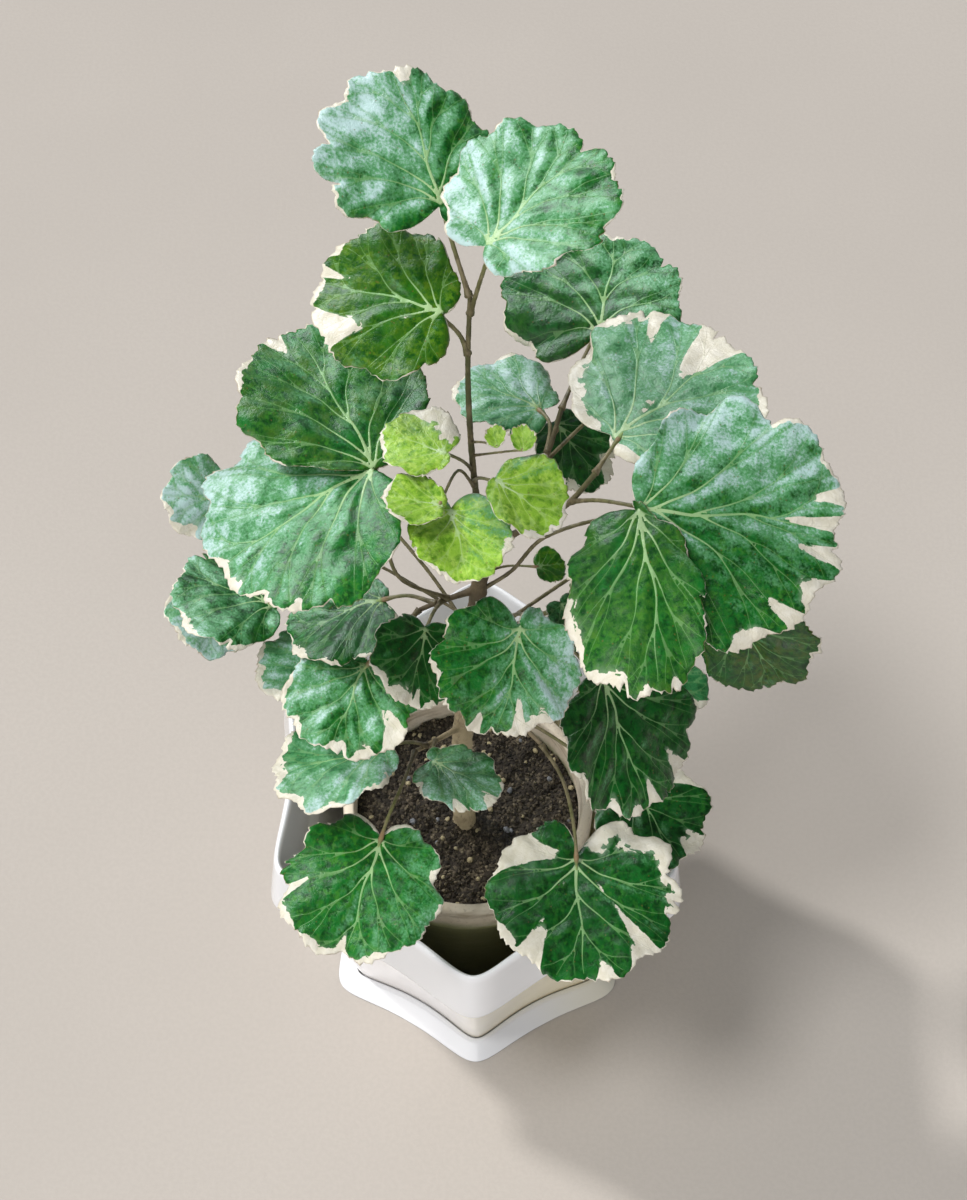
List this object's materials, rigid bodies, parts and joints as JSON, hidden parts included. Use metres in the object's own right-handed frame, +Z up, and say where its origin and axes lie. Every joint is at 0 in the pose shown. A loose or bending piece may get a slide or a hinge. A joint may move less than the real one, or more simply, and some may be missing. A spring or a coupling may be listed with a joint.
{
  "type": "potted plant",
  "caption": "Potted balfour aralia with rounded scalloped leaves on an upright woody stem, in a round inner pot inside a hexagonal planter on a saucer.",
  "frame": {"origin": "middle of the saucer's underside, on the surface that the plant stands on", "axes": "+Z up along the stem, +X to the right, the planter's front corner towards -Y"},
  "size_m": [0.2887, 0.2587, 0.547],
  "materials": {
    "glaze": "glossy white glaze",
    "clay": "matt cream, weathered",
    "earth": "loose and matt",
    "bark": "rough bark",
    "leaf": "semi-gloss leaf with cream edge",
    "young_leaf": "semi-gloss young leaf"
  },
  "bodies": {
    "root": {"saucer": "glaze", "planter": "glaze", "pot": "clay", "soil": "earth", "stem": "bark", "leaf_crown_left": "leaf", "leaf_crown_right": "leaf", "leaf_crown_lower": "leaf", "leaf_right_back": "leaf", "leaf_right_middle": "leaf", "leaf_right_big": "leaf", "leaf_right_hanging": "leaf", "leaf_middle_back": "leaf", "leaf_back_right": "leaf", "leaf_left_big": "leaf", "leaf_left_back": "leaf", "leaf_left_dark": "leaf", "leaf_left_far": "leaf", "leaf_left_middle": "leaf", "leaf_left_pale": "leaf", "leaf_front_left": "leaf", "leaf_front_dark": "leaf", "leaf_front_middle": "leaf", "leaf_front_side": "leaf", "leaf_front_small": "leaf", "leaf_low_left": "leaf", "leaf_low_right": "leaf", "leaf_right_low": "leaf", "leaf_right_pale": "leaf", "leaf_right_edge": "leaf", "leaf_small_dark": "leaf", "leaf_small_lime": "leaf", "leaf_hidden_left": "leaf", "leaf_hidden_right": "leaf", "leaf_hidden_back": "leaf", "leaf_hidden_low": "leaf", "leaf_young_top": "young_leaf", "leaf_young_left": "young_leaf", "leaf_young_middle": "young_leaf", "leaf_young_right": "young_leaf", "leaf_bud_left": "young_leaf", "leaf_bud_right": "young_leaf"}
  },
  "joints": []
}
